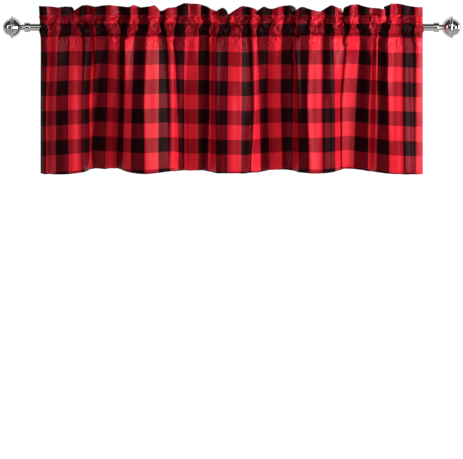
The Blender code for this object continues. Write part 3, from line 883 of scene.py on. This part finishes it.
def check_band(position, start, pitch, edge):
    """1 in the red bands and 0 in the black ones, with a soft edge where the yarns change."""
    phase = math_node("MULTIPLY", math_node("SUBTRACT", position, start), math.pi / pitch)
    swing = math_node("SINE", phase)
    level = math_node("MULTIPLY_ADD", swing, edge, 0.5)
    return math_node("SMOOTH_MAX", 0.0, math_node("MINIMUM", 1.0, level), 0.05)


BAND_EDGE = 14
FIRST_WEFT_BAND = 31.0 * MM
WEFT_CHECK = 37.9 * MM
warp_red = check_band(flat_x, SIDE_CHECK * CHECK, CHECK, BAND_EDGE)
weft_red = check_band(flat_y, FIRST_WEFT_BAND, WEFT_CHECK, BAND_EDGE)

# Warp and weft are each red or black, so four colours show. The warp shows more than the weft.
RED_YARN = (0.72, 0.0138, 0.031)
MIXED_RED_WARP = (0.31, 0.0044, 0.0130)
MIXED_BLACK_WARP = (0.15, 0.0026, 0.0078)
BLACK_YARN = (0.0125, 0.0016, 0.0028)
warp_on = mix_colour(weft_red, MIXED_RED_WARP, RED_YARN)
warp_off = mix_colour(weft_red, BLACK_YARN, MIXED_BLACK_WARP)
check_colour = mix_colour(warp_red, warp_off, warp_on)

# The weave: ribs of warp and weft, with a fine diagonal, and slubs along the warp, which runs down.
# The colour is also painted a little lighter on the raised weave and darker in its hollows: painted
# shade of the weave's relief.
YARN = 0.55 * MM
TWILL = 2.2 * YARN
diagonal = math_node("ADD", flat_x, flat_y)
twill = math_node("SINE", math_node("MULTIPLY", diagonal, 2 * math.pi / TWILL))
warp_rib = math_node("SINE", math_node("MULTIPLY", flat_x, 2 * math.pi / YARN))
weft_rib = math_node("SINE", math_node("MULTIPLY", flat_y, 2 * math.pi / YARN))
ribs = math_node("MULTIPLY", warp_rib, weft_rib)
weave_height = math_node("ADD", math_node("MULTIPLY", twill, 0.5), math_node("MULTIPLY", ribs, 0.5))
slub = noise_node(stretched(flat_map.outputs["UV"], (900, 60, 1)), 1.0, 3.0)
yarn_tone_and_weave_shade = nodes.new("ShaderNodeHueSaturation")
links.new(check_colour, yarn_tone_and_weave_shade.inputs["Color"])
slub_tone = math_node("MULTIPLY_ADD", slub, 0.16, 0.92)
# Painted shade: lighter where the weave stands up, darker in its hollows.
weave_painted_shade = math_node("MULTIPLY", weave_height, 0.05)
links.new(math_node("ADD", slub_tone, weave_painted_shade), yarn_tone_and_weave_shade.inputs["Value"])
cloth_shader = nodes["Principled BSDF"]
links.new(yarn_tone_and_weave_shade.outputs["Color"], cloth_shader.inputs["Base Color"])
yarn_roughness = math_node("MULTIPLY_ADD", slub, 0.14, 0.33)
links.new(yarn_roughness, cloth_shader.inputs["Roughness"])
cloth_shader.inputs["IOR"].default_value = 1.25

# The red yarns shine more than the black ones. The plain value holds where a link can't be kept.
weft_shine = math_node("MULTIPLY_ADD", weft_red, 0.10, 0.10)
yarn_shine = math_node("MULTIPLY_ADD", warp_red, 0.26, weft_shine)
cloth_shader.inputs["Specular IOR Level"].default_value = 0.2
links.new(yarn_shine, cloth_shader.inputs["Specular IOR Level"])

# Fine wrinkles crowd the pocket and fade out below its lower seam.
RAMP_LENGTH = 200
wrinkle_place = stretched(flat_map.outputs["UV"], (42, 26, 1), 0.25)
wrinkles = noise_node(wrinkle_place, 1.0, 1.0, 1.2)
off_ridge = math_node("ABSOLUTE", math_node("MULTIPLY_ADD", wrinkles, 2.0, -1.0))
down_ridge = math_node("MINIMUM", 1.0, math_node("MULTIPLY", off_ridge, 2.6))
ridge = math_node("POWER", math_node("SUBTRACT", 1.0, down_ridge), 1.5)
over_pocket = nodes.new("ShaderNodeValToRGB")
down_ramp = math_node("MULTIPLY", flat_y, 1 / (RAMP_LENGTH * MM))
links.new(down_ramp, over_pocket.inputs["Fac"])
over_pocket.color_ramp.interpolation = "EASE"
for flat, level in ((24, 0.0), (42, 1.0), (96, 1.0), (112, 0.45), (170, 0.0)):
    stop = over_pocket.color_ramp.elements.new(flat / RAMP_LENGTH)
    stop.color = (level, level, level, 1)
over_pocket.color_ramp.elements.remove(over_pocket.color_ramp.elements[0])
over_pocket.color_ramp.elements.remove(over_pocket.color_ramp.elements[-1])
wrinkle_height = math_node("MULTIPLY", ridge, over_pocket.outputs["Color"])
wrinkle_bump = bump_node(wrinkle_height, 1.0, 0.004)
weave_bump = bump_node(weave_height, 0.35, 0.00012)
links.new(wrinkle_bump.outputs["Normal"], weave_bump.inputs["Normal"])
links.new(weave_bump.outputs["Normal"], cloth_shader.inputs["Normal"])
cloth_mesh.materials.append(cloth_material)

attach(valance_panel, "root")
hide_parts("valance_cloth")

# ------------------------------------------------------------------------------------------------
# Sewing: lockstitch in dark red polyester thread along both pocket seams, the hem and the two side
# hems. It shows on the room side and on the wall side.
# ------------------------------------------------------------------------------------------------
STITCH_PITCH = 3.2 * MM
STITCH_LENGTH = 2.4 * MM
THREAD_RADIUS = 0.26 * MM
HEM_SEWN_INSIDE = 2.5 * MM
SIDE_SEWN_INSIDE = 2 * MM
STITCH_SEED = 11
# The thread's dark and light colours are painted shade and painted light along its twist.
THREAD_PAINTED_SHADE = (0.045, 0.003, 0.006)
THREAD_PAINTED_LIGHT = (0.10, 0.006, 0.012)

hem_seam = FLAT_LENGTH - HEM_DEPTH + HEM_SEWN_INSIDE
hem_row = int(np.argmin(np.abs(flats * MM - hem_seam)))
side_seam = SIDE_HEM - SIDE_SEWN_INSIDE
side_columns = [int(np.argmin(np.abs(stations - at))) for at in (side_seam, FLAT_WIDTH - side_seam)]
seam_points = []
seam_edges = []
for face_grid in (outer_front, outer_back):
    seam_lines = [face_grid[row] for row in (SEAM_ROW, LOWER_SEAM_ROW, hem_row)]
    seam_lines += [face_grid[:, column] for column in side_columns]
    for line in seam_lines:
        first = len(seam_points)
        seam_points.extend(line.tolist())
        seam_edges.extend((k, k + 1) for k in range(first, len(seam_points) - 1))
seam_mesh = bpy.data.meshes.new("seam_lines")
seam_mesh.from_pydata(seam_points, seam_edges, [])
seam_lines_object = bpy.data.objects.new("seam_lines", seam_mesh)
bpy.context.scene.collection.objects.link(seam_lines_object)

thread = bpy.data.materials.new("dark_red_sewing_thread")
thread.use_nodes = True
nodes, links = thread.node_tree.nodes, thread.node_tree.links
thread_shader = nodes["Principled BSDF"]
thread_place = nodes.new("ShaderNodeTexCoord")
# Diagonal bands along the twist: painted shade between the plies and painted light on them.
ply = nodes.new("ShaderNodeTexWave")
ply.bands_direction = "DIAGONAL"
ply.inputs["Scale"].default_value = 900.0
links.new(thread_place.outputs["Object"], ply.inputs["Vector"])
thread_colour = mix_colour(ply.outputs["Fac"], THREAD_PAINTED_SHADE, THREAD_PAINTED_LIGHT)
links.new(thread_colour, thread_shader.inputs["Base Color"])
thread_shader.inputs["Roughness"].default_value = 0.5
thread_shader.inputs["Specular IOR Level"].default_value = 0.3

stitch_tree = bpy.data.node_groups.new("lockstitch_row", "GeometryNodeTree")
stitch_interface = stitch_tree.interface
stitch_interface.new_socket("Geometry", in_out="INPUT", socket_type="NodeSocketGeometry")
stitch_inputs = {
    "Stitch Pitch": ("NodeSocketFloat", STITCH_PITCH),
    "Stitch Length": ("NodeSocketFloat", STITCH_LENGTH),
    "Thread Radius": ("NodeSocketFloat", THREAD_RADIUS),
    "Seed": ("NodeSocketInt", STITCH_SEED),
    "Thread": ("NodeSocketMaterial", thread),
}
stitch_sockets = {}
for label, (socket_type, value) in stitch_inputs.items():
    socket = stitch_interface.new_socket(label, in_out="INPUT", socket_type=socket_type)
    stitch_sockets[label] = socket.identifier
stitch_interface.new_socket("Geometry", in_out="OUTPUT", socket_type="NodeSocketGeometry")
stitch_in = stitch_tree.nodes.new("NodeGroupInput")
stitch_out = stitch_tree.nodes.new("NodeGroupOutput")
to_curve = stitch_tree.nodes.new("GeometryNodeMeshToCurve")
spaced = stitch_tree.nodes.new("GeometryNodeResampleCurve")
spaced.mode = "LENGTH"
along = stitch_tree.nodes.new("GeometryNodeInputTangent")
lay_along = stitch_tree.nodes.new("FunctionNodeAlignRotationToVector")
lay_along.axis = "Z"
one_stitch = stitch_tree.nodes.new("GeometryNodeMeshCylinder")
one_stitch.inputs["Vertices"].default_value = 6
vary = stitch_tree.nodes.new("FunctionNodeRandomValue")
vary.data_type = "FLOAT_VECTOR"
vary.inputs[0].default_value = (0.9, 0.9, 0.82)
vary.inputs[1].default_value = (1.1, 1.1, 1.08)
place_stitches = stitch_tree.nodes.new("GeometryNodeInstanceOnPoints")
realise = stitch_tree.nodes.new("GeometryNodeRealizeInstances")
dye = stitch_tree.nodes.new("GeometryNodeSetMaterial")
for start, end in (
    (stitch_in.outputs["Geometry"], to_curve.inputs["Mesh"]),
    (to_curve.outputs["Curve"], spaced.inputs["Curve"]),
    (stitch_in.outputs["Stitch Pitch"], spaced.inputs["Length"]),
    (spaced.outputs["Curve"], place_stitches.inputs["Points"]),
    (along.outputs["Tangent"], lay_along.inputs["Vector"]),
    (lay_along.outputs["Rotation"], place_stitches.inputs["Rotation"]),
    (stitch_in.outputs["Thread Radius"], one_stitch.inputs["Radius"]),
    (stitch_in.outputs["Stitch Length"], one_stitch.inputs["Depth"]),
    (one_stitch.outputs["Mesh"], place_stitches.inputs["Instance"]),
    (stitch_in.outputs["Seed"], vary.inputs["Seed"]),
    (vary.outputs[0], place_stitches.inputs["Scale"]),
    (place_stitches.outputs["Instances"], realise.inputs["Geometry"]),
    (realise.outputs["Geometry"], dye.inputs["Geometry"]),
    (stitch_in.outputs["Thread"], dye.inputs["Material"]),
    (dye.outputs["Geometry"], stitch_out.inputs["Geometry"]),
):
    stitch_tree.links.new(start, end)
sewing_modifier = seam_lines_object.modifiers.new("lockstitch", "NODES")
sewing_modifier.node_group = stitch_tree
for label, (socket_type, value) in stitch_inputs.items():
    sewing_modifier[stitch_sockets[label]] = value
bpy.context.view_layer.update()
sewn = seam_lines_object.evaluated_get(bpy.context.evaluated_depsgraph_get())
stitch_mesh = bpy.data.meshes.new_from_object(sewn)
stitch_mesh.name = "seam_stitches"
bpy.data.objects.remove(seam_lines_object)
seam_stitches = bpy.data.objects.new("seam_stitches", stitch_mesh)
bpy.context.scene.collection.objects.link(seam_stitches)
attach(seam_stitches, "root")

# ------------------------------------------------------------------------------------------------
# Curtain rod: one thin steel tube, chrome plated and polished along its length. It runs through the
# pocket and is held by two wall brackets, which aren't part of this object.
# ------------------------------------------------------------------------------------------------
ROD_END = 528.0
ROD_EDGE = 0.4
ROD_END_RING = 1.5
TURN_STEPS = 96
SHARP_EDGE = math.radians(32)


def arc(centre_x, centre_r, radius, start_deg, end_deg, steps):
    """Points along a circle in the plane of x and radius."""
    angles = np.radians(np.linspace(start_deg, end_deg, steps + 1))
    return [(centre_x + radius * math.cos(a), centre_r + radius * math.sin(a)) for a in angles]


def turned_piece(name, profile, side):
    """A closed mesh turned about the rod's axis from (x, radius) in mm; side is 1 for the right
    end and -1 for the left."""
    points = []
    rings = []
    for x, radius in profile:
        if radius == 0:
            rings.append([len(points)])
            points.append((side * x * MM, 0.0, 0.0))
            continue
        ring = []
        for k in range(TURN_STEPS):
            angle = 2 * math.pi * k / TURN_STEPS
            y, z = radius * MM * math.cos(angle), radius * MM * math.sin(angle)
            ring.append(len(points))
            points.append((side * x * MM, y, z))
        rings.append(ring)
    faces = []
    for inner, outer in zip(rings, rings[1:]):
        for k in range(TURN_STEPS):
            n = (k + 1) % TURN_STEPS
            if len(inner) == 1:
                face = (inner[0], outer[n], outer[k])
            elif len(outer) == 1:
                face = (inner[k], inner[n], outer[0])
            else:
                face = (inner[k], inner[n], outer[n], outer[k])
            faces.append(face if side > 0 else face[::-1])
    mesh = bpy.data.meshes.new(name)
    mesh.from_pydata(points, [], faces)
    mesh.update()
    mesh.shade_smooth()
    mesh.set_sharp_from_angle(angle=SHARP_EDGE)
    piece = bpy.data.objects.new(name, mesh)
    bpy.context.scene.collection.objects.link(piece)
    return piece


def chrome_plate(name, grain, polish):
    """Chrome on steel, with cloudy handling marks and faint polishing lines round or along it."""
    chrome = bpy.data.materials.new(name)
    chrome.use_nodes = True
    nodes, links = chrome.node_tree.nodes, chrome.node_tree.links
    shader = nodes["Principled BSDF"]
    shader.inputs["Metallic"].default_value = 1.0
    shader.inputs["Specular Tint"].default_value = (0.35, 0.35, 0.35, 1)
    place = nodes.new("ShaderNodeTexCoord").outputs["Object"]
    smears = noise_node(place, 38.0, 4.0)
    plate_colour = mix_colour(smears, (0.68, 0.68, 0.675), (0.78, 0.78, 0.775))
    links.new(plate_colour, shader.inputs["Base Color"])
    links.new(math_node("MULTIPLY_ADD", smears, 0.06, polish), shader.inputs["Roughness"])
    polish_lines = noise_node(stretched(place, grain), 1.0, 3.0)
    lines_bump = bump_node(polish_lines, 0.05, 0.0001)
    links.new(lines_bump.outputs["Normal"], shader.inputs["Normal"])
    return chrome


# Profiles are (x, radius) in mm, out from the middle of the rod. Rings near the rod's ends keep the
# shading of the long straight tube level.
rod_radius = ROD_RADIUS / MM
edge_radius = rod_radius - ROD_EDGE
rod_profile = [(-ROD_END, 0), (-ROD_END, edge_radius), (-ROD_END + ROD_EDGE, rod_radius)]
rod_profile += [(-ROD_END + ROD_END_RING, rod_radius), (ROD_END - ROD_END_RING, rod_radius)]
rod_profile += arc(ROD_END - ROD_EDGE, edge_radius, ROD_EDGE, 90, 10, 3)
rod_profile += [(ROD_END, edge_radius), (ROD_END, 0)]
rod_piece = turned_piece("polished_rod", rod_profile, 1)
rod_piece.data.materials.append(chrome_plate("rod_chrome_plate", (40, 2400, 2400), 0.05))
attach(rod_piece, "root")
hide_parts("rod_tube")

# ------------------------------------------------------------------------------------------------
# End caps: short turned sleeves of the same plated steel that push over the tube's ends, with a
# bead at the mouth, a soft barrel and a hole for the finial's spigot.
# ------------------------------------------------------------------------------------------------
cap_profile = [(528.3, 0), (528.3, 9.8), (519.5, 9.8), (519.5, 11.2)]
cap_profile += arc(520.3, 11.4, 0.85, 190, 95, 5)
cap_profile += [(521.2, 12.1), (522.0, 12.2), (524.0, 12.5), (526.0, 12.6), (528.5, 12.6)]
cap_profile += [(531.0, 12.4)] + arc(532.4, 10.9, 1.5, 80, 5, 6)
cap_profile += [(534.0, 10.4), (534.0, 4.3), (530.6, 4.3), (530.6, 0)]
for side, sign in (("left", -1), ("right", 1)):
    cap_piece = turned_piece(f"turned_end_cap_{side}", cap_profile, sign)
    cap_plate = chrome_plate(f"end_cap_{side}_chrome_plate", (2600, 300, 300), 0.06)
    cap_piece.data.materials.append(cap_plate)
    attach(cap_piece, "root")
    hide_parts(f"end_cap_{side}")

# ------------------------------------------------------------------------------------------------
# Finials: turned and plated. Each has a spigot that plugs into its cap, a neck with a collar and a
# bead, a bell-shaped back, a rounded rim with a groove behind the dome, and the domed end.
# ------------------------------------------------------------------------------------------------
finial_profile = [(531.0, 0), (531.0, 4.0), (534.3, 4.0), (534.3, 7.1)]
finial_profile += arc(535.2, 6.9, 0.8, 150, 20, 5) + [(536.3, 6.6)]
finial_profile += arc(538.8, 5.9, 1.9, 162, 18, 12) + [(541.0, 6.5), (541.8, 6.7), (542.5, 7.4)]
bell_x = np.linspace(543.0, 562.4, 22)
bell_knots = [543.0, 544.4, 546.6, 549.2, 552.4, 556.4, 560.4, 562.4]
bell_r = smooth_through(bell_knots, [9.0, 11.8, 15.2, 18.2, 20.9, 23.4, 25.1, 25.7], bell_x)
finial_profile += list(zip(bell_x.tolist(), bell_r.tolist()))
finial_profile += arc(565.8, 26.2, 2.4, 150, 20, 14)
finial_profile += [(568.8, 25.9), (569.3, 24.9), (569.5, 23.6), (569.7, 22.6), (570.3, 21.7)]
finial_profile += [
    (567.6 + 21.4 * math.sin(a), 21.6 * math.cos(a)) for a in np.radians(np.linspace(12, 86, 20))
]
finial_profile.append((589.0, 0))
for side, sign in (("left", -1), ("right", 1)):
    finial_piece = turned_piece(f"turned_finial_{side}", finial_profile, sign)
    finial_plate = chrome_plate(f"finial_{side}_chrome_plate", (2600, 260, 260), 0.04)
    finial_piece.data.materials.append(finial_plate)
    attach(finial_piece, "root")
    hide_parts(f"finial_{side}")
